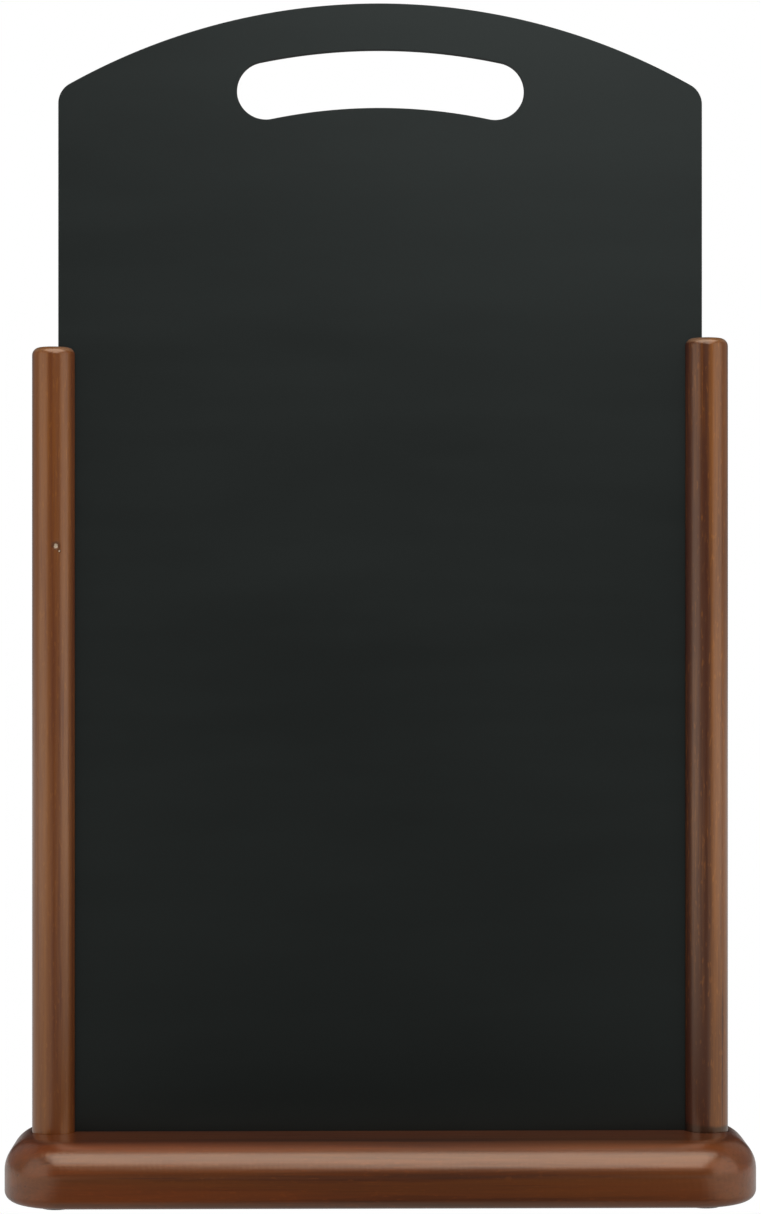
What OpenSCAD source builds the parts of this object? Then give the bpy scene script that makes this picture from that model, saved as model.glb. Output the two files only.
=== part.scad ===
// Table-top writing board: a black double-sided panel with a hand slot, which slides down between
// two grooved round posts and stands in the groove of a wooden base.
// Origin: centre of the footprint, on the surface that it stands on. +Z is up, -Y is the front.

/* [Panel] */
// Width of the panel
panel_w = 259.5; // [200:0.5:400]
// Height of the panel, from its foot to the crown of the arch
panel_h = 462.3; // [380:0.1:600]
// Thickness of the panel with both writing faces
panel_t = 3; // [2.4:0.1:5]
// Thickness of each writing face
face_t = 0.3; // [0.2:0.05:0.6]
// Radius of the arched top edge
arch_r = 256.3; // [215:0.1:380]
// Radius of each shoulder, where the arch turns into the side
shoulder_r = 9; // [4:0.5:16]

/* [Hand slot] */
// Length of the slot over its round ends
slot_l = 115.8; // [90:0.1:140]
// Width of the slot
slot_h = 23.4; // [18:0.1:30]
// Width of the grip band between the slot and the arch
grip_band = 18.7; // [14:0.1:26]

/* [Posts] */
// Diameter of each post
post_d = 17.6; // [16:0.1:24]
// Length of each post
post_l = 330; // [240:1:360]
// Radius of the rounded post tops
post_top_r = 3.2; // [1:0.1:6]
// How much higher the right post stands in its hole than the left one
right_raise = 4; // [0:0.1:6]

/* [Grooves and holes] */
// Depth of the lengthwise groove in each post
groove_depth = 7.4; // [4:0.1:9]
// Gap between a groove's wall and the panel's face
groove_side_gap = 0.3; // [0.2:0.05:0.8]
// Gap between a groove's floor and the panel's edge
groove_floor_gap = 0.4; // [0.2:0.05:1]
// Depth of the base groove that the panel's foot stands in
foot_groove_depth = 8.3; // [4:0.1:10]
// Gap between the base groove's floor and the panel's foot
foot_gap = 0.3; // [0.2:0.05:0.6]
// Depth of the hole that each post is glued in
post_hole_depth = 14.5; // [12:0.1:18]
// Glue gap all round a post in its hole
glue_gap = 0.1; // [0.05:0.05:0.3]

/* [Base] */
// Depth of the base, front to back
base_d = 72; // [60:1:120]
// Thickness of the base
base_h = 25; // [20.5:0.1:40]
// How far the base runs past each post
base_end = 9.65; // [6:0.05:30]
// Radius of the base's rounded upper edge
top_edge_r = 13; // [4:0.5:14]
// Radius of the base's rounded lower edge
bottom_edge_r = 4; // [1:0.5:5]
// Radius of the base's corners, seen from above
corner_r = 25; // [18:1:28]

/* [Screws] */
// Diameter of a screw's shank
screw_d = 4; // [3:0.1:5]
// Diameter of a screw's countersunk head
screw_head_d = 8; // [6.5:0.1:9]
// Height of a screw's head
screw_head_h = 2.4; // [1.8:0.1:3]
// How far a screw runs into the left post
screw_bite = 20; // [12:1:40]
// Length of a screw's point
screw_point = 5; // [3:0.5:8]
// Distance of each screw outward from its post's axis, which keeps it clear of the groove
screw_offset = 3; // [3:0.1:4]
// How deep a screw's head lies below the underside
screw_sink = 0.5; // [0.2:0.1:1.5]
// Gap all round a shank where it passes through the base
screw_gap = 0.3; // [0.1:0.05:0.6]
// Width across the cross recess of a screw
cross_w = 4.2; // [3:0.1:5]
// Width of one arm of the cross recess
cross_arm = 0.9; // [0.6:0.1:1.2]
// Depth of the cross recess
cross_depth = 1.4; // [0.8:0.1:1.6]

/* [Feet] */
// Diameter of each non-slip pad
foot_d = 14; // [8:0.5:18]
// Thickness of each non-slip pad
foot_t = 1; // [0.5:0.1:4]
// Distance of a pad's centre from the base's end
foot_inset_x = 22; // [18:0.5:40]
// Distance of a pad's centre from the base's front or rear edge
foot_inset_y = 14; // [13:0.5:20]

/* [Hidden] */
$fn = 96;
// Segments of the arch and of the slot's long edges
arch_fn = 360;

// A cut runs this far past the surface that it opens
cut = 1;
post_r = post_d / 2;
post_x = panel_w / 2 + groove_floor_gap + post_r - groove_depth;
base_l = 2 * (post_x + post_r + base_end);
base_bottom = foot_t;
base_top = base_bottom + base_h;
post_floor = base_top - post_hole_depth;
groove_w = panel_t + 2 * groove_side_gap;
panel_foot = base_top - foot_groove_depth + foot_gap;
panel_top = panel_foot + panel_h;
core_t = panel_t - 2 * face_t;

// The arch's centre, and the centre of each shoulder, which touches the arch from inside
arch_z = panel_top - arch_r;
shoulder_x = panel_w / 2 - shoulder_r;
shoulder_reach = arch_r - shoulder_r;
shoulder_z = arch_z + sqrt(pow(shoulder_reach, 2) - pow(shoulder_x, 2));
shoulder_angle = asin(shoulder_x / shoulder_reach);

// The slot follows the arch's centre: its middle line, and the angle of its round ends
slot_end_r = slot_h / 2;
slot_mid_r = arch_r - grip_band - slot_end_r;
slot_angle = asin((slot_l / 2 - slot_end_r) / slot_mid_r);

screw_bottom = base_bottom + screw_sink;
screw_l = post_floor + screw_bite - screw_bottom;

wood_colour = "#6b3a27";
panel_colour = "#2b2e2d";
core_colour = "#1f2020";
screw_colour = "#b9b6a6";
foot_colour = "#1c1c1c";

// ---- Outlines ----

// The base's edge in section, from a corner's axis out to the widest line
module edge_section() {
    intersection() {
        square([corner_r, base_h]);
        union() {
            square([corner_r - top_edge_r, base_h]);
            translate([0, bottom_edge_r])
                square([corner_r, base_h - top_edge_r - bottom_edge_r]);
            square([corner_r - bottom_edge_r, base_h - top_edge_r]);
            translate([corner_r - top_edge_r, base_h - top_edge_r])
                circle(r = top_edge_r);
            translate([corner_r - bottom_edge_r, bottom_edge_r])
                circle(r = bottom_edge_r);
        }
    }
}

// A wedge about +Z, from the height z0 up past the radius r, whose sides run through the origin
module wedge(half_angle, z0, r) {
    z1 = r + cut;
    spread = tan(half_angle);
    polygon([[-z0 * spread, z0], [z0 * spread, z0], [z1 * spread, z1], [-z1 * spread, z1]]);
}

// The panel's outline: straight sides, two shoulders and the arch between them
module panel_blank() {
    translate([-panel_w / 2, panel_foot])
        square([panel_w, shoulder_z - panel_foot]);
    for (side = [-1, 1])
        translate([side * shoulder_x, shoulder_z])
            circle(r = shoulder_r);
    translate([0, arch_z])
        intersection() {
            circle(r = arch_r, $fn = arch_fn);
            wedge(shoulder_angle, shoulder_z - arch_z, arch_r);
        }
}

// The hand slot: a band that runs with the arch and ends in half circles
module hand_slot() {
    translate([0, arch_z]) {
        difference() {
            intersection() {
                circle(r = slot_mid_r + slot_end_r, $fn = arch_fn);
                wedge(slot_angle, slot_mid_r / 2, slot_mid_r + slot_end_r);
            }
            circle(r = slot_mid_r - slot_end_r, $fn = arch_fn);
        }
        for (side = [-1, 1])
            rotate(-side * slot_angle)
                translate([0, slot_mid_r])
                    circle(r = slot_end_r);
    }
}

// A layer of the panel, from the depth y back by the thickness t
module panel_layer(y, t) {
    translate([0, y + t, 0])
        rotate([90, 0, 0])
            linear_extrude(t)
                difference() {
                    panel_blank();
                    hand_slot();
                }
}

// ---- Base ----

// A bar with the base's edge in section along +Y, as long as the run
module edge_run(run) {
    translate([0, run / 2, 0])
        rotate([90, 0, 0])
            linear_extrude(run)
                edge_section();
}

// The base before it is cut: a block, four straight edges and four round corners
module base_blank() {
    run_x = base_l - 2 * corner_r;
    run_y = base_d - 2 * corner_r;
    translate([-run_x / 2, -run_y / 2, 0])
        cube([run_x, run_y, base_h]);
    for (side = [0, 1]) {
        rotate(180 * side)
            translate([run_x / 2, 0, 0])
                edge_run(run_y);
        rotate(90 + 180 * side)
            translate([run_y / 2, 0, 0])
                edge_run(run_x);
    }
    for (x = [0, 1], y = [0, 1])
        mirror([x, 0, 0])
            mirror([0, y, 0])
                translate([run_x / 2, run_y / 2, 0])
                    rotate_extrude(angle = 90)
                        edge_section();
}

module screw_hole() {
    head_bottom_r = screw_head_d / 2;
    cylinder(r = screw_d / 2 + screw_gap, h = post_floor + cut);
    cylinder(r = head_bottom_r, h = screw_bottom);
    translate([0, 0, screw_bottom])
        cylinder(r1 = head_bottom_r, r2 = screw_d / 2, h = screw_head_h);
}

module base() {
    color(wood_colour)
        difference() {
            translate([0, 0, base_bottom])
                base_blank();
            translate([-post_x, -groove_w / 2, base_top - foot_groove_depth])
                cube([2 * post_x, groove_w, foot_groove_depth + cut]);
            for (side = [-1, 1]) {
                translate([side * post_x, 0, post_floor])
                    cylinder(r = post_r + glue_gap, h = post_hole_depth + cut);
                translate([side * (post_x + screw_offset), 0, 0])
                    screw_hole();
            }
        }
}

// ---- Posts ----

module post_section() {
    square([post_r, post_l - post_top_r]);
    square([post_r - post_top_r, post_l]);
    translate([post_r - post_top_r, post_l - post_top_r])
        intersection() {
            circle(r = post_top_r);
            square(post_top_r);
        }
}

// A post whose groove faces +X, raised by the given height from the floor of its hole
module post(raise) {
    translate([0, 0, post_floor + raise])
        difference() {
            rotate_extrude()
                post_section();
            translate([post_r - groove_depth, -groove_w / 2, -cut])
                cube([groove_depth + cut, groove_w, post_l + 2 * cut]);
            translate([-screw_offset, 0, -cut])
                cylinder(r = screw_d / 2, h = screw_bite - raise + cut);
        }
}

module left_post() {
    color(wood_colour)
        translate([-post_x, 0, 0])
            post(0);
}

module right_post() {
    color(wood_colour)
        translate([post_x, 0, 0])
            mirror([1, 0, 0])
                post(right_raise);
}

// ---- Screws ----

// A countersunk wood screw that points up, with its head on the XY plane
module screw() {
    color(screw_colour)
        difference() {
            union() {
                cylinder(r1 = screw_head_d / 2, r2 = screw_d / 2, h = screw_head_h);
                cylinder(r = screw_d / 2, h = screw_l - screw_point);
                translate([0, 0, screw_l - screw_point])
                    cylinder(r1 = screw_d / 2, r2 = 0, h = screw_point);
            }
            for (turn = [0, 90])
                rotate(turn)
                    translate([-cross_w / 2, -cross_arm / 2, -cut])
                        cube([cross_w, cross_arm, cross_depth + cut]);
        }
}

module post_screw(side) {
    translate([side * (post_x + screw_offset), 0, screw_bottom])
        screw();
}

// ---- Panel ----

module panel_core() {
    color(core_colour)
        panel_layer(-core_t / 2, core_t);
}

module panel_front_face() {
    color(panel_colour)
        panel_layer(-panel_t / 2, face_t);
}

module panel_rear_face() {
    color(panel_colour)
        panel_layer(core_t / 2, face_t);
}

// ---- Feet ----

// A pad under one corner: side_x is -1 at the left, side_y is -1 at the front
module foot(side_x, side_y) {
    color(foot_colour)
        translate([side_x * (base_l / 2 - foot_inset_x), side_y * (base_d / 2 - foot_inset_y), 0])
            cylinder(d = foot_d, h = foot_t);
}

base();
left_post();
right_post();
post_screw(-1);  // left_post_screw
post_screw(1);  // right_post_screw
panel_core();
panel_front_face();
panel_rear_face();
foot(-1, -1);  // front_left_foot
foot(1, -1);  // front_right_foot
foot(-1, 1);  // rear_left_foot
foot(1, 1);  // rear_right_foot
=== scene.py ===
"""Looks of a table-top writing board.

A matt black panel with a hand slot slides down between two grooved, stained posts on a stained
wooden base. Units are metres in the part's own frame: +Z is up, -Y is the front, and the origin is
the centre of the footprint.
"""

import logging
import math
from dataclasses import dataclass, field
from enum import Enum
from typing import Any, Sequence

import bmesh
import bpy
import numpy as np
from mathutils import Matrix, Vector


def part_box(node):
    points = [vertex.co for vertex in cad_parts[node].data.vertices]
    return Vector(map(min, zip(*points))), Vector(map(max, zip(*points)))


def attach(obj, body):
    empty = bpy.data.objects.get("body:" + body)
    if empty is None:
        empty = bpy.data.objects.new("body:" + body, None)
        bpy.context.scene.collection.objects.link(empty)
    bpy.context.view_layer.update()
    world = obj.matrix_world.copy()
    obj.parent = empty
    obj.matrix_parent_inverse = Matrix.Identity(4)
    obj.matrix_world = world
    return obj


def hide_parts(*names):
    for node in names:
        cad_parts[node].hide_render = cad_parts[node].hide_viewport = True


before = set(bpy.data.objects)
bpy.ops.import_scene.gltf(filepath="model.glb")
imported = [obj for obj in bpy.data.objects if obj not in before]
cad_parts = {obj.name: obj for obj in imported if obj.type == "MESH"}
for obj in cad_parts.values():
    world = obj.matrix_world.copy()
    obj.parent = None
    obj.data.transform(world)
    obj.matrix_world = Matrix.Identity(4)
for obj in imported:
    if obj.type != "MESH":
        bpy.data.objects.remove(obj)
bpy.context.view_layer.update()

log = logging.getLogger("writing_board")

MM = 0.001
SMOOTH_ANGLE = math.radians(32)


# ---------------------------------------------------------------- meshes


def link_mesh(name: str, vertices: np.ndarray, faces: Sequence[Sequence[int]]) -> bpy.types.Object:
    """Makes an object at the origin from points and faces, with its normals pointing out.

    Args:
        name: the piece's name.
        vertices: points as rows of x, y, z.
        faces: each face as a list of row numbers.

    Returns:
        The new object, linked to the scene.
    """
    mesh = bpy.data.meshes.new(name)
    mesh.from_pydata(vertices.reshape(-1, 3).tolist(), [], faces)
    body = bmesh.new()
    body.from_mesh(mesh)
    bmesh.ops.remove_doubles(body, verts=body.verts, dist=1e-7)
    bmesh.ops.recalc_face_normals(body, faces=body.faces)
    body.to_mesh(mesh)
    body.free()
    mesh.update()
    piece = bpy.data.objects.new(name, mesh)
    bpy.context.scene.collection.objects.link(piece)
    return piece


def ring_faces(rings: int, points: int, start: int = 0) -> list[list[int]]:
    """Quads between closed rings of points that lie one after another in the vertex list.

    Args:
        rings: how many rings there are.
        points: how many points each ring has.
        start: the row number of the first ring's first point.

    Returns:
        The faces. Point j of ring i joins point j + 1, and point j of ring i + 1, round the ring.
    """
    i, j = np.meshgrid(np.arange(rings - 1), np.arange(points), indexing="ij")
    k = (j + 1) % points
    this, following = i * points, (i + 1) * points
    quads = np.stack([this + j, this + k, following + k, following + j], axis=-1)
    return (quads.reshape(-1, 4) + start).tolist()


def ring_solid(name: str, rings: np.ndarray) -> bpy.types.Object:
    """A closed solid from a stack of rings, with a flat face over the first and the last ring.

    Args:
        name: the piece's name.
        rings: an array of ring, point, and x, y, z.

    Returns:
        The new object.
    """
    count, points = rings.shape[:2]
    last = (count - 1) * points
    caps = [list(range(points)), list(range(last, last + points))]
    return link_mesh(name, rings, ring_faces(count, points) + caps)


def turned(profile: np.ndarray, centre: Sequence[float], segments: int) -> np.ndarray:
    """Rings of a turned solid: each profile point (r, z) swept round a vertical axis.

    Args:
        profile: rows of radius and height.
        centre: x and y of the axis.
        segments: points in each ring.

    Returns:
        An array of ring, point, and x, y, z: (cx + r cos a, cy + r sin a, z).
    """
    angle = np.linspace(0, 2 * np.pi, segments, endpoint=False)
    radius, height = profile[:, :1], profile[:, 1:]
    return np.stack([centre[0] + radius * np.cos(angle), centre[1] + radius * np.sin(angle),
                     np.broadcast_to(height, (len(profile), segments))], axis=-1)


def arc(centre: Sequence[float], radius: float, start: float, end: float, steps: int) -> np.ndarray:
    """Points on an arc, with the arc's outward direction at each.

    Args:
        centre: the arc's centre in its plane.
        radius: the arc's radius.
        start: the first angle in degrees.
        end: the last angle in degrees.
        steps: how many points.

    Returns:
        Rows of u, v, normal u, normal v, where (u, v) = centre + radius * (cos a, sin a).
    """
    angle = np.radians(np.linspace(start, end, steps))
    way = np.stack([np.cos(angle), np.sin(angle)], axis=-1)
    return np.hstack([np.asarray(centre) + radius * way, way])


def finish_shading(piece: bpy.types.Object) -> None:
    """Smooths the curved faces and keeps the edges sharp. Large flat faces set the normals.

    Args:
        piece: the object to shade.
    """
    piece.data.polygons.foreach_set("use_smooth", [True] * len(piece.data.polygons))
    piece.data.set_sharp_from_angle(angle=SMOOTH_ANGLE)
    weighted = piece.modifiers.new("even_normals", "WEIGHTED_NORMAL")
    weighted.mode = "FACE_AREA"
    weighted.keep_sharp = True


def carve(piece: bpy.types.Object, cutters: Sequence[bpy.types.Object]) -> None:
    """Cuts each cutter out of the piece and removes the cutters.

    Args:
        piece: the solid that is cut.
        cutters: closed solids that reach past the surface that they open.
    """
    for cutter in cutters:
        cut = piece.modifiers.new("cut", "BOOLEAN")
        cut.operation = "DIFFERENCE"
        cut.solver = "EXACT"
        cut.object = cutter
        graph = bpy.context.evaluated_depsgraph_get()
        carved = bpy.data.meshes.new_from_object(piece.evaluated_get(graph))
        piece.modifiers.clear()
        old = piece.data
        piece.data = carved
        bpy.data.meshes.remove(old)
        shape = cutter.data
        bpy.data.objects.remove(cutter)
        bpy.data.meshes.remove(shape)
    piece.data.name = piece.name


# ---------------------------------------------------------------- finishes


def linear(hex_colour: str) -> tuple[float, float, float, float]:
    """Turns an sRGB hex value such as "#6b3a27" to linear red, green, blue and alpha."""
    value = np.array([int(hex_colour[i:i + 2], 16) for i in (1, 3, 5)]) / 255
    light = np.where(value <= 0.04045, value / 12.92, ((value + 0.055) / 1.055) ** 2.4)
    return (*light.tolist(), 1.0)


def add(tree: bpy.types.NodeTree, kind: str, inputs: dict[Any, Any] | None = None,
        **settings: Any) -> bpy.types.Node:
    """Adds one node, with its settings, and fills or links its sockets.

    Args:
        tree: the material's node tree.
        kind: the node's type.
        inputs: socket name or number, to a value, to another node's output socket, or to a node,
            which stands for its first output.
        settings: the node's own properties.

    Returns:
        The new node.
    """
    node = tree.nodes.new(kind)
    for key, value in settings.items():
        setattr(node, key, value)
    for key, value in (inputs or {}).items():
        if isinstance(value, bpy.types.Node):
            value = value.outputs[0]
        if isinstance(value, bpy.types.NodeSocket):
            tree.links.new(value, node.inputs[key])
        else:
            node.inputs[key].default_value = value
    return node


def new_tree(name: str) -> tuple[bpy.types.Material, bpy.types.NodeTree, bpy.types.Node]:
    """Makes a material with an empty tree, a Principled shader and an output.

    Args:
        name: the material's name.

    Returns:
        The material, its tree and its shader.
    """
    material = bpy.data.materials.new(name)
    material.use_nodes = True
    tree = material.node_tree
    tree.nodes.clear()
    shader = add(tree, "ShaderNodeBsdfPrincipled")
    add(tree, "ShaderNodeOutputMaterial", {"Surface": shader.outputs["BSDF"]})
    return material, tree, shader


class Grain(Enum):
    """Which way a piece's grain runs, as the turn that brings it to the pattern's Z."""

    ALONG_X = (0.0, -math.pi / 2, 0.0)
    ALONG_Z = (0.0, 0.0, 0.0)


@dataclass(frozen=True)
class Chip:
    """A knock that took the varnish off a post: its place round the post, and its size."""

    turn: float
    drop: float
    radius: float
    depth: float = 0.3 * MM


# The lifted varnish and then the bare wood: how many radii it reaches, its tone and its share
CHIP_TONES = ((2.2, "#2b130a", 0.5), (1.35, "#dcc8ae", 0.95))
CHIP_BLUR = 0.3
# Splinters of this width make a chip's edge ragged
SPLINTER = 0.8 * MM


@dataclass(frozen=True)
class PaintedSlopeLight:
    """Painted light on faces that look up, a dark tone for shade or a pale one for a highlight: the
    slopes from which it starts and is full, and its share.
    """

    start: float
    full: float
    share: float
    tone: str


@dataclass(frozen=True)
class Figure:
    """One scale of the wood's figure: streaks of noise, and what they add to the stain's depth."""

    width_mm: float
    shortening: float
    low: float
    high: float
    least: float
    most: float
    detail: float = 2.0
    rough: float = 0.5


FIGURES = {
    # Stain streaks are 2 to 4 mm wide
    "streak": Figure(3.2, 0.02, 0.3, 0.7, 0.0, 0.4, 3.0, 0.55),
    # Fibres are 0.1 mm wide, and are drawn at 0.8 mm to show
    "fibre": Figure(0.8, 0.03, 0.3, 0.7, -0.17, 0.17, 3.0, 0.6),
    # The stain took unevenly over a few centimetres
    "blotch": Figure(24.0, 0.25, 0.3, 0.7, -0.16, 0.16),
    # Sparse open grain lines are 1 mm wide and 60 mm long
    "line": Figure(1.3, 0.012, 0.66, 0.74, 0.0, 0.45, 1.0),
    # Ray flecks are half a millimetre wide, drawn at 0.8 mm, and 4 mm long, and take less stain
    "fleck": Figure(0.8, 0.2, 0.60, 0.74, 0.0, -0.45, 1.0),
}
# These don't deepen the stain: rings wander by the first, thin stain glows by the second, and the
# step of the planer's knives varies by the third
OTHER_FIGURES = {
    "wander": Figure(22.0, 0.03, 0.2, 0.8, 0.0, 1.0, 1.0),
    "glow": Figure(11.0, 0.05, 0.4, 0.7, 0.0, 0.5),
    "step": Figure(9.0, 1.0, 0.2, 0.8, 0.0, 1.0, 1.0),
}


@dataclass(frozen=True)
class SatinVarnish:
    """Sprayed satin varnish: a clear, broad highlight over a warmer one from the fibres under it.

    Fibres and open grain telegraph through it by a few hundredths of a millimetre.
    """

    clear_roughness: float = 0.25
    clear_ior: float = 1.58
    fibre_roughness: tuple[float, float] = (0.28, 0.37)
    fibre_ior: float = 1.6
    fibre_shine: float = 1.0
    fibre_tint: str = "#ffc890"
    relief: float = 0.08 * MM
    relief_strength: float = 0.6

    def lay(self, tree: bpy.types.NodeTree, shader: bpy.types.Node, fibre: bpy.types.Node,
            surface: bpy.types.Node) -> None:
        """Sets the shader's shine and its fine relief.

        Args:
            tree: the material's node tree.
            shader: its shader.
            fibre: the fibres' figure, by which their roughness varies.
            surface: how high the surface stands, in shares of the relief.
        """
        dull = add(tree, "ShaderNodeMapRange", {
            "Value": fibre, "From Min": FIGURES["fibre"].least, "From Max": FIGURES["fibre"].most,
            "To Min": self.fibre_roughness[0], "To Max": self.fibre_roughness[1]})
        tree.links.new(dull.outputs[0], shader.inputs["Roughness"])
        shader.inputs["IOR"].default_value = self.fibre_ior
        shader.inputs["Specular IOR Level"].default_value = self.fibre_shine
        shader.inputs["Specular Tint"].default_value = linear(self.fibre_tint)
        shader.inputs["Coat Weight"].default_value = 1.0
        shader.inputs["Coat Roughness"].default_value = self.clear_roughness
        shader.inputs["Coat IOR"].default_value = self.clear_ior
        bump = add(tree, "ShaderNodeBump", {
            "Strength": self.relief_strength, "Distance": self.relief, "Height": surface})
        tree.links.new(bump.outputs[0], shader.inputs["Normal"])


@dataclass(frozen=True)
class JointPaintedShade:
    """Painted shade in a joint: a dark tone at the piece's foot, fading up the piece to a height
    that wanders.
    """

    shade_rise: float = 0.0
    full: float = -0.8 * MM
    end: float = 0.6 * MM
    wander: float = 6 * MM
    share: float = 0.85
    tone: str = "#1d0a05"

    def darken(self, tree: bpy.types.NodeTree, place: bpy.types.Node, blotch: bpy.types.Node,
               colour: bpy.types.NodeSocket, joint: float) -> bpy.types.NodeSocket:
        """Darkens the foot of the piece with painted shade.

        Args:
            tree: the material's node tree.
            place: its coordinate node.
            blotch: the figure by which the height wanders.
            colour: the colour without the painted shade.
            joint: the height at which the piece enters another.

        Returns:
            The colour with the painted shade.
        """
        upright = add(tree, "ShaderNodeSeparateXYZ", {0: place.outputs["Object"]})
        height = add(tree, "ShaderNodeMath", {
            0: blotch, 1: -self.wander, 2: upright.outputs["Z"]}, operation="MULTIPLY_ADD")
        painted_shade = add(tree, "ShaderNodeMapRange", {
            "Value": height, "From Min": joint + self.shade_rise + self.full,
            "From Max": joint + self.shade_rise + self.end, "To Min": self.share, "To Max": 0.0},
            interpolation_type="SMOOTHSTEP")
        return add(tree, "ShaderNodeMix", {
            "Factor": painted_shade, 6: colour, 7: linear(self.tone)}, data_type="RGBA").outputs[2]


@dataclass(frozen=True)
class StainedBeech:
    """Beech, planed or turned, wiped with walnut stain and sprayed with satin varnish.

    The stain sinks deeper between the fibres, which gives long soft streaks. A tone on upward faces
    paints light: painted shade on a flat top, and a painted highlight on a rounded crown. The
    varnish lies over it with a broad, soft shine.
    """

    name: str
    grain: Grain
    pale: str
    deep: str
    warm: str
    heart: tuple[float, float, float]
    # Painted light on upward faces: painted shade on the base's flat top, a painted highlight on the
    # posts' crowns
    top: PaintedSlopeLight
    ring_mm: float = 9.0
    ring_strength: float = 0.35
    ring_wander: float = 6.0
    ring_edge: tuple[float, float] = (-0.3, 0.7)
    pale_ends: tuple[float, float] | None = None
    pale_ends_depth: float = -0.35
    palest_depth: float = -0.54
    glowing_depth: tuple[float, float] = (0.1, 0.7)
    knife_marks: float = 0.0
    knife_pitch_mm: float = 2.6
    knife_wander_mm: float = 2.5
    open_grain_depth: float = -2.0
    joint_shade: JointPaintedShade = JointPaintedShade()
    varnish: SatinVarnish = SatinVarnish()

    def material(self, chips: Sequence[tuple[Sequence[float], float]] = (),
                 joint: float | None = None) -> bpy.types.Material:
        """Builds the material from the piece's Object coordinates, in millimetres.

        Args:
            chips: the middle and radius of each place where the varnish is off.
            joint: the height at which the piece enters another, where painted shade darkens its
                foot.

        Returns:
            The material.
        """
        material, tree, shader = new_tree(self.name)
        place = add(tree, "ShaderNodeTexCoord")
        along = add(tree, "ShaderNodeMapping", {
            "Vector": place.outputs["Object"], "Rotation": self.grain.value, "Scale": (1 / MM,) * 3})
        there = add(tree, "ShaderNodeVectorMath", {0: along, 1: self.heart}, operation="ADD")
        drawn = self.figures(tree, there)
        depth = self.stain_depth(tree, along, there, drawn)
        colour = self.stained(tree, place, depth, drawn["glow"])
        # Painted shade at the foot, where the piece enters the base
        if joint is not None:
            colour = self.joint_shade.darken(tree, place, drawn["blotch"], colour, joint)
        tree.links.new(self.chipped(tree, place, colour, chips), shader.inputs["Base Color"])
        self.varnish.lay(tree, shader, drawn["fibre"], self.surface(tree, there, drawn))
        return material

    def figures(self, tree: bpy.types.NodeTree, there: bpy.types.Node) -> dict[str, bpy.types.Node]:
        """Draws every scale of the wood's figure, drawn out along the grain.

        Args:
            tree: the material's node tree.
            there: the place in millimetres from the tree's heart, with the grain along Z.

        Returns:
            Each figure's node by its name.
        """
        drawn = {}
        for key, figure in {**FIGURES, **OTHER_FIGURES}.items():
            shortened = add(tree, "ShaderNodeVectorMath", {
                0: there, 1: (1.0, 1.0, figure.shortening)}, operation="MULTIPLY")
            noise = add(tree, "ShaderNodeTexNoise", {
                "Vector": shortened, "Scale": 1 / figure.width_mm, "Detail": figure.detail,
                "Roughness": figure.rough})
            drawn[key] = add(tree, "ShaderNodeMapRange", {
                "Value": noise, "From Min": figure.low, "From Max": figure.high,
                "To Min": figure.least, "To Max": figure.most}, interpolation_type="SMOOTHSTEP")
        return drawn

    def stain_depth(self, tree: bpy.types.NodeTree, along: bpy.types.Node, there: bpy.types.Node,
                    drawn: dict[str, bpy.types.Node]) -> bpy.types.Node:
        """How deep the stain went: growth rings, plus every scale of figure, less the sanded ends.

        The rings are bands by the distance from the tree's heart, which lies outside the piece: a
        sine of 2 pi (distance + wander) / ring width.

        Args:
            tree: the material's node tree.
            along: the place in millimetres, with the grain along Z.
            there: the same from the tree's heart.
            drawn: each figure's node by its name.

        Returns:
            The node that holds the depth, mostly from 0 to 1.
        """
        flat = add(tree, "ShaderNodeVectorMath", {0: there, 1: (1.0, 1.0, 0.0)},
                   operation="MULTIPLY")
        reach = add(tree, "ShaderNodeVectorMath", {0: flat}, operation="LENGTH")
        bent = add(tree, "ShaderNodeMath", {
            0: drawn["wander"], 1: self.ring_wander, 2: reach.outputs["Value"]},
            operation="MULTIPLY_ADD")
        phase = add(tree, "ShaderNodeMath", {0: bent, 1: 2 * math.pi / self.ring_mm},
                    operation="MULTIPLY")
        wave = add(tree, "ShaderNodeMath", {0: phase}, operation="SINE")
        depth = add(tree, "ShaderNodeMapRange", {
            "Value": wave, "From Min": self.ring_edge[0], "From Max": self.ring_edge[1],
            "To Min": 0.0, "To Max": self.ring_strength}, interpolation_type="SMOOTHSTEP")
        for key in FIGURES:
            depth = add(tree, "ShaderNodeMath", {0: depth, 1: drawn[key]}, operation="ADD")
        if self.pale_ends:
            # The depth falls from the middle towards the ends, so the wood is paler there
            run = add(tree, "ShaderNodeSeparateXYZ", {0: along})
            from_middle = add(tree, "ShaderNodeMath", {0: run.outputs["Z"]}, operation="ABSOLUTE")
            paler_towards_ends = add(tree, "ShaderNodeMapRange", {
                "Value": from_middle, "From Min": self.pale_ends[0], "From Max": self.pale_ends[1],
                "To Min": 0.0, "To Max": self.pale_ends_depth}, interpolation_type="SMOOTHSTEP")
            depth = add(tree, "ShaderNodeMath", {0: depth, 1: paler_towards_ends}, operation="ADD")
        return depth

    def stained(self, tree: bpy.types.NodeTree, place: bpy.types.Node, depth: bpy.types.Node,
                glow: bpy.types.Node) -> bpy.types.NodeSocket:
        """Colours the wood by the depth of its stain, and paints light on upward faces with the top
        tone.

        Args:
            tree: the material's node tree.
            place: its coordinate node.
            depth: how deep the stain went.
            glow: the figure by which thin stain glows.

        Returns:
            The colour.
        """
        # The palest tone lies below zero depth, so that streaks still show on the paler ends
        soaked = add(tree, "ShaderNodeMapRange", {
            "Value": depth, "From Min": self.palest_depth, "From Max": 1.0})
        stained = add(tree, "ShaderNodeMix", {
            "Factor": soaked, 6: linear(self.pale), 7: linear(self.deep)}, data_type="RGBA")
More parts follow.
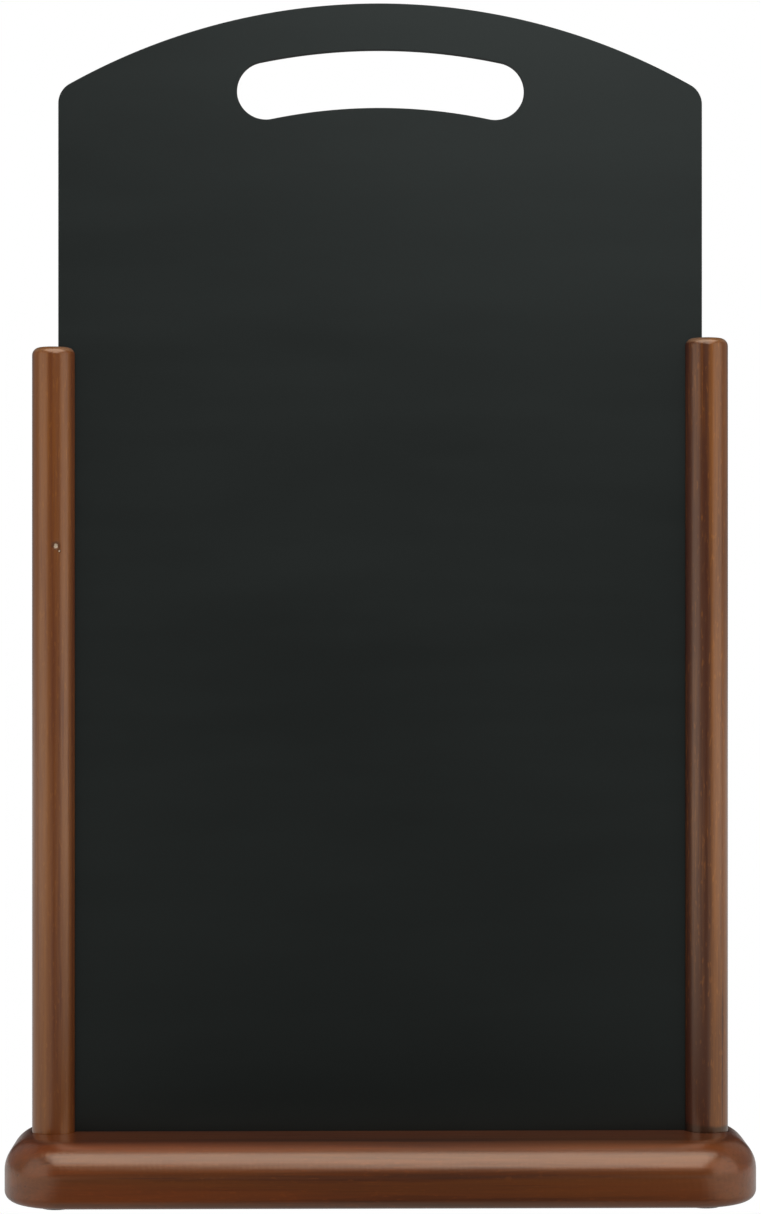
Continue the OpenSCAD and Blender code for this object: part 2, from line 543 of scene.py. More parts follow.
        # A little orange shows where the stain is thin
        thin = add(tree, "ShaderNodeMapRange", {
            "Value": depth, "From Min": self.glowing_depth[0], "From Max": self.glowing_depth[1],
            "To Min": 1.0, "To Max": 0.0})
        glowing = add(tree, "ShaderNodeMath", {0: glow, 1: thin}, operation="MULTIPLY")
        toned = add(tree, "ShaderNodeMix", {
            "Factor": glowing, 6: stained.outputs[2], 7: linear(self.warm)}, data_type="RGBA")
        # Painted light: upward faces take the top tone, painted shade on the base's flat top and a
        # painted highlight on the posts' crowns
        facing = add(tree, "ShaderNodeSeparateXYZ", {0: place.outputs["Normal"]})
        painted_top_light = add(tree, "ShaderNodeMapRange", {
            "Value": facing.outputs["Z"], "From Min": self.top.start, "From Max": self.top.full,
            "To Max": self.top.share}, interpolation_type="SMOOTHSTEP")
        return add(tree, "ShaderNodeMix", {
            "Factor": painted_top_light, 6: toned.outputs[2], 7: linear(self.top.tone)},
            data_type="RGBA").outputs[2]

    def surface(self, tree: bpy.types.NodeTree, there: bpy.types.Node,
                drawn: dict[str, bpy.types.Node]) -> bpy.types.Node:
        """How high the wood stands: proud fibres, sunk open grain and the planer's ripples.

        Args:
            tree: the material's node tree.
            there: the place in millimetres from the tree's heart, with the grain along Z.
            drawn: each figure's node by its name.

        Returns:
            The node that holds the height, in shares of the varnish's relief.
        """
        height = add(tree, "ShaderNodeMath", {
            0: drawn["line"], 1: self.open_grain_depth, 2: drawn["fibre"]},
            operation="MULTIPLY_ADD")
        if self.knife_marks:
            # The ripples run across the grain: a sine of 2 pi (distance + wander) / pitch
            run = add(tree, "ShaderNodeSeparateXYZ", {0: there})
            step = add(tree, "ShaderNodeMath", {
                0: drawn["step"], 1: self.knife_wander_mm, 2: run.outputs["Z"]},
                operation="MULTIPLY_ADD")
            phase = add(tree, "ShaderNodeMath", {0: step, 1: 2 * math.pi / self.knife_pitch_mm},
                        operation="MULTIPLY")
            ripple = add(tree, "ShaderNodeMath", {0: phase}, operation="SINE")
            height = add(tree, "ShaderNodeMath", {0: ripple, 1: self.knife_marks, 2: height},
                         operation="MULTIPLY_ADD")
        return height

    def chipped(self, tree: bpy.types.NodeTree, place: bpy.types.Node, colour: bpy.types.NodeSocket,
                chips: Sequence[tuple[Sequence[float], float]]) -> bpy.types.NodeSocket:
        """Bares the pale wood in each chip, inside a dark rim of lifted varnish.

        Args:
            tree: the material's node tree.
            place: its coordinate node.
            colour: the colour without the chips.
            chips: the middle and radius of each chip.

        Returns:
            The colour with the chips.
        """
        for centre, radius in chips:
            ragged = add(tree, "ShaderNodeTexNoise", {
                "Vector": place.outputs["Object"], "Scale": 1 / SPLINTER, "Detail": 2.0})
            away = add(tree, "ShaderNodeVectorMath", {0: place.outputs["Object"], 1: centre},
                       operation="DISTANCE")
            edge = add(tree, "ShaderNodeMath", {
                0: ragged, 1: radius, 2: away.outputs["Value"]}, operation="MULTIPLY_ADD")
            for reach, tone, weight in CHIP_TONES:
                bare = add(tree, "ShaderNodeMapRange", {
                    "Value": edge, "From Min": (reach - CHIP_BLUR) * radius,
                    "From Max": reach * radius, "To Min": weight, "To Max": 0.0})
                colour = add(tree, "ShaderNodeMix", {
                    "Factor": bare, 6: colour, 7: linear(tone)}, data_type="RGBA").outputs[2]
        return colour


@dataclass(frozen=True)
class Skin:
    """A surface whose colour and roughness follow one pattern, with a fine relief."""

    tones: tuple[str, str]
    dullness: tuple[float, float]
    relief: float
    strength: float = 0.5

    def lay(self, tree: bpy.types.NodeTree, shader: bpy.types.Node, pattern: bpy.types.Node,
            surface: bpy.types.Node) -> None:
        """Sets the shader's colour, roughness and relief.

        Args:
            tree: the material's node tree.
            shader: its shader.
            pattern: a node whose first output goes from 0 to 1.
            surface: how high the surface stands, in shares of the relief.
        """
        colour = add(tree, "ShaderNodeMix", {
            "Factor": pattern, 6: linear(self.tones[0]), 7: linear(self.tones[1])},
            data_type="RGBA")
        tree.links.new(colour.outputs[2], shader.inputs["Base Color"])
        dull = add(tree, "ShaderNodeMapRange", {
            "Value": pattern, "To Min": self.dullness[0], "To Max": self.dullness[1]})
        tree.links.new(dull.outputs[0], shader.inputs["Roughness"])
        bump = add(tree, "ShaderNodeBump", {
            "Strength": self.strength, "Distance": self.relief, "Height": surface})
        tree.links.new(bump.outputs[0], shader.inputs["Normal"])


@dataclass(frozen=True)
class WritingLaminate:
    """Thin matt black melamine laminate, pressed with a fine tooth that takes chalk and pen.

    It is nearly black, a little green, with a wide dull shine and traces of wiping. The tooth is
    about 0.1 mm wide, and is drawn at 0.7 mm so that it shows.
    """

    name: str = "pressed_black_writing_laminate"
    skin: Skin = Skin(("#141615", "#1c1f1e"), (0.38, 0.44), 0.03 * MM)
    shine: str = "#f0fffc"
    tooth: float = 0.7 * MM
    grit: tuple[float, float, float] = (0.35, 0.75, 0.5)
    wipe_slant: float = math.radians(4)
    wipes_per_metre: tuple[float, float, float] = (6.0, 30.0, 34.0)
    wipe: tuple[float, float, float] = (0.35, 0.7, 0.6)

    def material(self) -> bpy.types.Material:
        """Builds the material from the panel's Object coordinates."""
        material, tree, shader = new_tree(self.name)
        place = add(tree, "ShaderNodeTexCoord")
        tooth = add(tree, "ShaderNodeTexNoise", {
            "Vector": place.outputs["Object"], "Scale": 1 / self.tooth, "Detail": 3.0,
            "Roughness": 0.6})
        # Wiping leaves faint bands across the panel, wider than they are high
        across = add(tree, "ShaderNodeMapping", {
            "Vector": place.outputs["Object"], "Rotation": (0.0, self.wipe_slant, 0.0),
            "Scale": self.wipes_per_metre})
        wiped = add(tree, "ShaderNodeTexNoise", {
            "Vector": across, "Scale": 1.0, "Detail": 5.0, "Roughness": 0.62})
        haze = add(tree, "ShaderNodeMapRange", {
            "Value": wiped, "From Min": self.wipe[0], "From Max": self.wipe[1]})
        grit = add(tree, "ShaderNodeMapRange", {
            "Value": tooth, "From Min": self.grit[0], "From Max": self.grit[1],
            "To Max": self.grit[2]})
        dust = add(tree, "ShaderNodeMath", {0: haze, 1: self.wipe[2], 2: grit},
                   operation="MULTIPLY_ADD", use_clamp=True)
        self.skin.lay(tree, shader, dust, tooth)
        shader.inputs["IOR"].default_value = 1.5
        shader.inputs["Specular Tint"].default_value = linear(self.shine)
        return material


@dataclass(frozen=True)
class DyedFibreboard:
    """Through-dyed black fibreboard, routed and sealed: a dense, felt-like black edge.

    Fibres are 0.05 mm thick and a few millimetres long, and are drawn at 0.4 mm. The router leaves
    shallow ripples about 2 mm apart.
    """

    name: str = "routed_black_fibreboard"
    skin: Skin = Skin(("#0d0d0d", "#242322"), (0.6, 0.8), 0.04 * MM)
    fibre: float = 0.4 * MM
    ripple: float = 2 * MM

    def material(self) -> bpy.types.Material:
        """Builds the material from the panel's Object coordinates."""
        material, tree, shader = new_tree(self.name)
        place = add(tree, "ShaderNodeTexCoord")
        fluff = add(tree, "ShaderNodeTexNoise", {
            "Vector": place.outputs["Object"], "Scale": 1 / self.fibre, "Detail": 4.0,
            "Roughness": 0.7})
        ripple = add(tree, "ShaderNodeTexNoise", {
            "Vector": place.outputs["Object"], "Scale": 1 / self.ripple, "Detail": 1.0})
        height = add(tree, "ShaderNodeMath", {0: ripple, 1: fluff}, operation="ADD")
        self.skin.lay(tree, shader, fluff, height)
        return material


@dataclass(frozen=True)
class ZincPlatedSteel:
    """Cold-headed steel with a bright zinc plating, clouded where it has been handled."""

    name: str = "zinc_plated_steel"
    skin: Skin = Skin(("#9c9a90", "#cfccbe"), (0.22, 0.45), 0.01 * MM, 0.4)
    cloud: float = 1.5 * MM
    scuff: float = 0.3 * MM

    def material(self) -> bpy.types.Material:
        """Builds the material from the screw's Object coordinates."""
        material, tree, shader = new_tree(self.name)
        place = add(tree, "ShaderNodeTexCoord")
        cloud = add(tree, "ShaderNodeTexNoise", {
            "Vector": place.outputs["Object"], "Scale": 1 / self.cloud, "Detail": 4.0})
        scuff = add(tree, "ShaderNodeTexNoise", {
            "Vector": place.outputs["Object"], "Scale": 1 / self.scuff, "Detail": 2.0})
        self.skin.lay(tree, shader, cloud, scuff)
        shader.inputs["Metallic"].default_value = 1.0
        return material


@dataclass(frozen=True)
class FoamRubber:
    """Die-cut black foam rubber: matt, with open pores about a third of a millimetre wide."""

    name: str = "die_cut_foam_rubber"
    skin: Skin = Skin(("#101010", "#2b2a29"), (0.75, 0.9), 0.08 * MM, 0.6)
    pore: float = 0.35 * MM

    def material(self) -> bpy.types.Material:
        """Builds the material from the pad's Object coordinates."""
        material, tree, shader = new_tree(self.name)
        place = add(tree, "ShaderNodeTexCoord")
        cells = add(tree, "ShaderNodeTexVoronoi", {
            "Vector": place.outputs["Object"], "Scale": 1 / self.pore})
        self.skin.lay(tree, shader, cells, cells)
        return material


@dataclass(frozen=True)
class PaperSweep:
    """White studio paper that glows: plain white to the camera, and painted light to the board.

    Its glow to the board stands in for the light that the paper throws back, with painted shade and
    light in it: dim close by, where the board's own shade falls, bright at the footprint's edge,
    strongest in a ring round it, brighter at both ends as a painted pool of the side softboxes'
    light, and ending a metre out.
    """

    half_footprint: tuple[float, float, float]
    name: str = "white_studio_paper"
    # Painted light: how brightly the paper glows for the board at the footprint's edge, close by, in
    # the ring, far out and at both ends
    edge_glow: float = 0.26
    lip_width: float = 14 * MM
    near: float = 0.05
    side_light_glow: float = 0.45
    ring: float = 0.28
    far: float = 0.04
    ring_rise: tuple[float, float] = (0.07, 0.25)
    ring_fall: tuple[float, float] = (0.55, 0.9)
    beside_rise: tuple[float, float] = (-25 * MM, 15 * MM)

    def material(self) -> bpy.types.Material:
        """Builds the material. The ring's brightness goes by the distance from the footprint."""
        material = bpy.data.materials.new(self.name)
        material.use_nodes = True
        tree = material.node_tree
        tree.nodes.clear()
        place = add(tree, "ShaderNodeTexCoord")
        folded = add(tree, "ShaderNodeVectorMath", {0: place.outputs["Object"]},
                     operation="ABSOLUTE")
        beyond = add(tree, "ShaderNodeVectorMath", {0: folded, 1: self.half_footprint},
                     operation="SUBTRACT")
        outside = add(tree, "ShaderNodeVectorMath", {0: beyond, 1: (0.0, 0.0, 0.0)},
                      operation="MAXIMUM")
        reach = add(tree, "ShaderNodeVectorMath", {0: outside}, operation="LENGTH")
        # Painted shade close by, rising to the ring's painted light
        rise = add(tree, "ShaderNodeMapRange", {
            "Value": reach.outputs["Value"], "From Min": self.ring_rise[0],
            "From Max": self.ring_rise[1], "To Min": self.near, "To Max": self.ring},
            interpolation_type="SMOOTHSTEP")
        fall = add(tree, "ShaderNodeMapRange", {
            "Value": reach.outputs["Value"], "From Min": self.ring_fall[0],
            "From Max": self.ring_fall[1], "To Min": 1.0, "To Max": self.far / self.ring},
            interpolation_type="SMOOTHSTEP")
        band = add(tree, "ShaderNodeMath", {0: rise, 1: fall}, operation="MULTIPLY")
        # A painted bright edge just round the footprint
        close = add(tree, "ShaderNodeMapRange", {
            "Value": reach.outputs["Value"], "From Max": self.lip_width, "To Min": self.edge_glow,
            "To Max": 0.0}, interpolation_type="SMOOTHSTEP")
        sideways = add(tree, "ShaderNodeSeparateXYZ", {0: folded})
        # A painted pool of the side softboxes' light at both ends
        side_light_glow = add(tree, "ShaderNodeMapRange", {
            "Value": sideways.outputs["X"],
            "From Min": self.half_footprint[0] + self.beside_rise[0],
            "From Max": self.half_footprint[0] + self.beside_rise[1], "To Max": self.side_light_glow},
            interpolation_type="SMOOTHSTEP")
        fronts = add(tree, "ShaderNodeMath", {0: band, 1: close}, operation="ADD")
        power = add(tree, "ShaderNodeMath", {0: fronts, 1: side_light_glow}, operation="MAXIMUM")
        # The camera sees plain white; every other ray gets the painted glow
        path = add(tree, "ShaderNodeLightPath")
        seen = add(tree, "ShaderNodeEmission", {"Color": linear("#ffffff"), "Strength": 1.0})
        given = add(tree, "ShaderNodeEmission", {"Color": linear("#fffdfa"), "Strength": power})
        mix = add(tree, "ShaderNodeMixShader", {
            0: path.outputs["Is Camera Ray"], 1: given, 2: seen})
        add(tree, "ShaderNodeOutputMaterial", {"Surface": mix})
        return material


def dress(piece: bpy.types.Object, material: bpy.types.Material, body: str, node: str) -> None:
    """Gives a finished piece its material and its body, and hides the part's node that it stands
    for.

    Args:
        piece: the finished object.
        material: its material.
        body: the body that it rides on.
        node: the part's node that it replaces.
    """
    piece.data.materials.clear()
    piece.data.materials.append(material)
    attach(piece, body)
    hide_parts(node)
    log.info("%s: %d faces on body %s", piece.name, len(piece.data.polygons), body)


# ---------------------------------------------------------------- the stand


@dataclass
class Base:
    """The wooden base: a block with a large round on its upper edge and a small one below."""

    top_round: float = 13 * MM
    bottom_round: float = 4 * MM
    corner: float = 25 * MM
    groove_width: float = 3.6 * MM
    groove_depth: float = 8.3 * MM
    hole_depth: float = 14.5 * MM
    hole_gap: float = 0.2 * MM
    eased: float = 0.4 * MM
    sink_depth: float = 2.2 * MM
    shank_gap: float = 0.3 * MM
    post_radius: float = 8.8 * MM
    corner_steps: int = 20
    run_steps: tuple[int, int] = (60, 8)
    lower_steps: int = 9
    upper_steps: int = 25
    hole_segments: int = 96
    sink_segments: int = 48
    # The top tone #32170d is painted shade: it darkens the flat top, which takes less light than the
    # front
    finish: StainedBeech = field(default_factory=lambda: StainedBeech(
        "planed_walnut_stained_beech", Grain.ALONG_X, "#9a4b20", "#522717", "#854b1b",
        (38.0, 11.0, 0.0), PaintedSlopeLight(0.88, 0.99, 0.35, "#32170d"), pale_ends=(15.0, 120.0),
        knife_marks=0.25))

    def outline(self, inset: float) -> np.ndarray:
        """The base's outline seen from above, moved inward by the inset.

        Args:
            inset: how far inside the base's widest line.

        Returns:
            Rows of x and y, counter-clockwise. Each corner is a quarter circle about the same
            centre, with the inset taken from its radius, and the straight runs are divided evenly.
        """
        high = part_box("base")[1]
        x, y = high[0] - self.corner, high[1] - self.corner
        centres = ((x, y), (-x, y), (-x, -y), (x, -y))
        corners = [arc(centre, self.corner - inset, 90 * i, 90 * i + 90, self.corner_steps)[:, :2]
                   for i, centre in enumerate(centres)]
        runs = []
        for this, following, steps in zip(corners, corners[1:] + corners[:1], self.run_steps * 2):
            share = np.linspace(0, 1, steps + 2)[1:-1, None]
            runs += [this, this[-1] * (1 - share) + following[0] * share]
        return np.vstack(runs)

    def rings(self) -> np.ndarray:
        """The block's rings from its underside to its top.

        The lower edge is a quarter circle of inset r (1 - sin a), height r (1 - cos a), and the
        upper edge is the same turned over.
        """
        low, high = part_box("base")
        under = np.radians(np.linspace(0, 90, self.lower_steps))
        over = np.radians(np.linspace(90, 0, self.upper_steps))
        inset = np.concatenate([self.bottom_round * (1 - np.sin(under)),
                                self.top_round * (1 - np.sin(over))])
        height = np.concatenate([low[2] + self.bottom_round * (1 - np.cos(under)),
                                 high[2] - self.top_round * (1 - np.cos(over))])
        return np.stack([np.column_stack([self.outline(d), np.full(len(self.outline(d)), z)])
                         for d, z in zip(inset, height)])

    def cutters(self) -> list[bpy.types.Object]:
        """The groove, the post holes and the screws' countersinks, with eased upper rims."""
        low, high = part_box("base")
        top, past = high[2], 2 * MM
        half, reach = self.groove_width / 2, self.post_centres()[1]
        rim, mouth = half + self.eased, half + self.eased + past
        section = np.array([[-half, top - self.groove_depth], [half, top - self.groove_depth],
                            [half, top - self.eased], [rim, top], [mouth, top + past],
                            [-mouth, top + past], [-rim, top], [-half, top - self.eased]])
        ends = np.array([-reach, reach])[:, None]
        groove = np.stack([np.broadcast_to(ends, (2, 8)), np.broadcast_to(section[:, 0], (2, 8)),
                           np.broadcast_to(section[:, 1], (2, 8))], axis=-1)
        solids = [ring_solid("groove_cutter", groove)]
        radius = self.post_radius + self.hole_gap
        hole = np.array([[radius, top - self.hole_depth], [radius, top - self.eased],
                         [radius + self.eased, top], [radius + self.eased + past, top + past]])
        solids += [ring_solid("hole_cutter", turned(hole, (x, 0), self.hole_segments))
                   for x in self.post_centres()]
        for name in ("left_post_screw", "right_post_screw"):
            sink_low, sink_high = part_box(name)
            x = (sink_low[0] + sink_high[0]) / 2
            head = (sink_high[0] - sink_low[0]) / 2
            shank = head / 2 + self.shank_gap
            sink = np.array([[head, low[2] - past], [head, sink_low[2]],
                             [shank, sink_low[2] + self.sink_depth],
                             [shank, top - self.hole_depth + past]])
            solids.append(ring_solid("sink_cutter", turned(sink, (x, 0), self.sink_segments)))
        return solids

    def post_centres(self) -> tuple[float, float]:
        """The x of the left and of the right post's axis."""
        return (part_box("left_post")[0][0] + self.post_radius,
                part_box("right_post")[1][0] - self.post_radius)

    def build(self) -> None:
        """Makes the base and dresses it."""
        piece = ring_solid("wooden_base", self.rings())
        carve(piece, self.cutters())
        finish_shading(piece)
        dress(piece, self.finish.material(), "stand", "base")


@dataclass
class Post:
    """A round post with a lengthwise groove for the panel and a rounded top."""

    node: str
    facing: int
    finish: StainedBeech
    radius: float = 8.8 * MM
    top_round: float = 3.2 * MM
    groove_width: float = 3.6 * MM
    groove_depth: float = 7.4 * MM
    eased: float = 0.35 * MM
    chips: tuple[Chip, ...] = ()
    shaft_steps: int = 60
    chip_steps: int = 13
    chip_reach: float = 2.5
    crown_steps: int = 15
    round_steps: int = 97
    ease_steps: int = 6
    wall_steps: int = 5

    def chip_centre(self, chip: Chip) -> np.ndarray:
        """The middle of a chip: turned from the front towards the panel, and down from the top."""
        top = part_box(self.node)[1][2]
        return np.array([self.axis_x() + self.facing * self.radius * math.sin(chip.turn),
                         -self.radius * math.cos(chip.turn), top - chip.drop])

    def heights(self) -> tuple[np.ndarray, np.ndarray]:
        """Heights from the foot to the crown, and the post's radius at each.

        The crown is a quarter circle: radius R - r + r cos a, height top - r + r sin a.
        """
        low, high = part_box(self.node)
        shaft = np.linspace(low[2], high[2] - self.top_round, self.shaft_steps)
        for chip in self.chips:
            # Closer rings carry the chip's hollow
            reach = self.chip_reach * chip.radius
            near = np.linspace(-reach, reach, self.chip_steps)
            shaft = np.union1d(shaft, high[2] - chip.drop + near)
        turn = np.radians(np.linspace(0, 90, self.crown_steps)[1:])
        crown = high[2] - self.top_round * (1 - np.sin(turn))
        narrow = self.radius - self.top_round * (1 - np.cos(turn))
        straight = np.full(len(shaft), self.radius)
        return np.concatenate([shaft, crown]), np.concatenate([straight, narrow])

    def rings(self) -> np.ndarray:
        """The post's rings: a circle cut by the groove, with the groove's mouth eased.

        Each mouth corner is a quadratic curve from the wall to the circle, which passes near the
        sharp corner at x = sqrt(r^2 - g^2), y = g, where g is half the groove's width.
        """
        height, radius = self.heights()
        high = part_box(self.node)[1]
        r = radius[:, None]
        # The groove flares by the eased size over the last stretch under the crown's top
        flare = np.clip((height - (high[2] - self.eased)) / self.eased, 0, 1)[:, None] * self.eased
        g = self.groove_width / 2 + flare
        floor = self.radius - self.groove_depth - flare
        wide = np.arcsin((g + self.eased) / r)
        share = np.linspace(0, 1, self.round_steps)[None, :]
        angle = wide + (2 * np.pi - 2 * wide) * share
        around = np.stack([r * np.cos(angle), r * np.sin(angle)], axis=-1)
        corner_x = np.sqrt(r ** 2 - g ** 2)
        t = np.linspace(0, 1, self.ease_steps)[None, 1:-1]
        from_x, from_y = corner_x - self.eased, g
        to_x, to_y = r * np.cos(wide), r * np.sin(wide)
        ease_x = (1 - t) ** 2 * from_x + 2 * t * (1 - t) * corner_x + t ** 2 * to_x
        ease_y = (1 - t) ** 2 * from_y + 2 * t * (1 - t) * g + t ** 2 * to_y
        ease = np.stack([ease_x, ease_y], axis=-1)
        wall_x = floor + (from_x - floor) * np.linspace(0, 1, self.wall_steps)[None, :]
        wall = np.stack([wall_x, np.broadcast_to(g, wall_x.shape)], axis=-1)
        flip = np.array([1.0, -1.0])
        ring = np.concatenate(
            [wall, ease, around, ease[:, ::-1] * flip, wall[:, ::-1] * flip], axis=1)
        level = np.broadcast_to(height[:, None, None], (*ring.shape[:2], 1))
        rings = np.concatenate([ring, level], axis=-1)
        rings[..., 0] *= self.facing
        rings[..., 0] += self.axis_x()
        # Each chip is a hollow of depth d exp(-(distance / radius)^2), pressed towards the axis
        for chip in self.chips:
            away = np.linalg.norm(rings - self.chip_centre(chip), axis=-1, keepdims=True)
            inward = rings[..., :2] - np.array([self.axis_x(), 0.0])
            inward /= np.linalg.norm(inward, axis=-1, keepdims=True)
            rings[..., :2] -= chip.depth * np.exp(-(away / chip.radius) ** 2) * inward
        return rings

    def axis_x(self) -> float:
        """The x of the post's axis, one radius in from its outer side."""
        low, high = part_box(self.node)
        return low[0] + self.radius if self.facing > 0 else high[0] - self.radius

    def build(self) -> None:
        """Makes the post and dresses it."""
        piece = ring_solid(f"grooved_{self.node}", self.rings())
        finish_shading(piece)
        chips = [(tuple(self.chip_centre(chip)), chip.radius) for chip in self.chips]
        finish = self.finish.material(chips, joint=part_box("base")[1][2])
        dress(piece, finish, "stand", self.node)


@dataclass
class PostScrew:
    """A countersunk wood screw that points up into a post, with a cross recess in its head."""

    node: str
    shank: float = 2.0 * MM
    core: float = 1.35 * MM
    pitch: float = 1.8 * MM
    head_height: float = 2.4 * MM
    point: float = 5 * MM
    recess: float = 1.4 * MM
    cross_width: float = 4.2 * MM
    cross_arm: float = 0.9 * MM
    soft: float = 0.1 * MM
    run_out: float = 3 * MM
    sharpness: float = 1.6
    segments: int = 64
    face_steps: int = 30
    thread_steps: int = 150

    def arm(self, along: np.ndarray, across: np.ndarray) -> np.ndarray:
        """How deep one arm of the cross recess is at each point of the head's face.

        Args:
            along: how far each point lies along the arm.
            across: how far it lies across the arm.

        Returns:
            A share from 0 to 1. It is 1 where |across| < half the arm's width and |along| < half
            the cross, and falls off over a tenth of a millimetre at the sides.
        """
        sides = np.clip((self.cross_arm / 2 - np.abs(across)) / self.soft + 0.5, 0, 1)
        ends = np.clip((self.cross_width / 2 - np.abs(along)) / (4 * self.soft) + 0.5, 0, 1)
        return sides * ends

    def rings(self) -> np.ndarray:
        """The screw's rings from the middle of the head's face to the point.

        The thread's radius is core + (shank - core) * crest, where crest is a triangle wave of
        height / pitch - turn, raised to the power of its sharpness.
        """
        low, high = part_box(self.node)
        head = (high[0] - low[0]) / 2
        turn = np.linspace(0, 2 * np.pi, self.segments, endpoint=False)[None, :]
        face_r = np.linspace(0.02 * MM, head - 0.15 * MM, self.face_steps)[:, None]
        x, y = face_r * np.cos(turn), face_r * np.sin(turn)
        sunk = low[2] + self.recess * np.maximum(self.arm(x, y), self.arm(y, x))
        face = np.stack([x, y, sunk], axis=-1)
        # The head's edge is eased, and its cone narrows to the shank
        neck = low[2] + self.head_height
        edge = np.array([[head - 0.04 * MM, low[2] + 0.04 * MM], [head, low[2] + 0.15 * MM],
                         [self.shank, neck]])
        rim = turned(edge, (0, 0), self.segments)
        z = np.linspace(neck + 0.1 * MM, high[2] - 0.05 * MM, self.thread_steps)[:, None]
        wave = np.abs(((z / self.pitch - turn / (2 * np.pi)) % 1) * 2 - 1)
        cut = self.core + (self.shank - self.core) * wave ** self.sharpness
        threaded = np.clip((z - neck) / self.run_out - 1, 0, 1)
        taper = np.clip((high[2] - z) / self.point, 0, 1)
        radius = (self.shank * (1 - threaded) + cut * threaded) * taper
        thread = np.stack([radius * np.cos(turn), radius * np.sin(turn),
                           np.broadcast_to(z, radius.shape)], axis=-1)
        rings = np.concatenate([face, rim, thread])
        rings[..., 0] += (low[0] + high[0]) / 2
        return rings

    def build(self, material: bpy.types.Material) -> None:
        """Makes the screw and dresses it.

        Args:
            material: the plating, which all screws share.
        """
        piece = ring_solid(f"threaded_{self.node}", self.rings())
        finish_shading(piece)
        dress(piece, material, "stand", self.node)


@dataclass
class NonSlipPad:
    """A round pad under the base, with its upper and lower edges rounded."""

    node: str
    edge: float = 0.25 * MM
    edge_steps: int = 6
    segments: int = 64

    def build(self, material: bpy.types.Material) -> None:
        """Makes the pad and dresses it.

        Args:
            material: the foam rubber, which all pads share.
        """
        low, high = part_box(self.node)
        centre = ((low[0] + high[0]) / 2, (low[1] + high[1]) / 2)
        radius = (high[0] - low[0]) / 2
        inner = radius - self.edge
        lower = arc((inner, low[2] + self.edge), self.edge, -90, 0, self.edge_steps)[:, :2]
        upper = arc((inner, high[2] - self.edge), self.edge, 0, 90, self.edge_steps)[:, :2]
        rings = turned(np.vstack([lower, upper]), centre, self.segments)
        piece = ring_solid(f"pad_{self.node}", rings)
        finish_shading(piece)
        dress(piece, material, "stand", self.node)


# ---------------------------------------------------------------- the panel


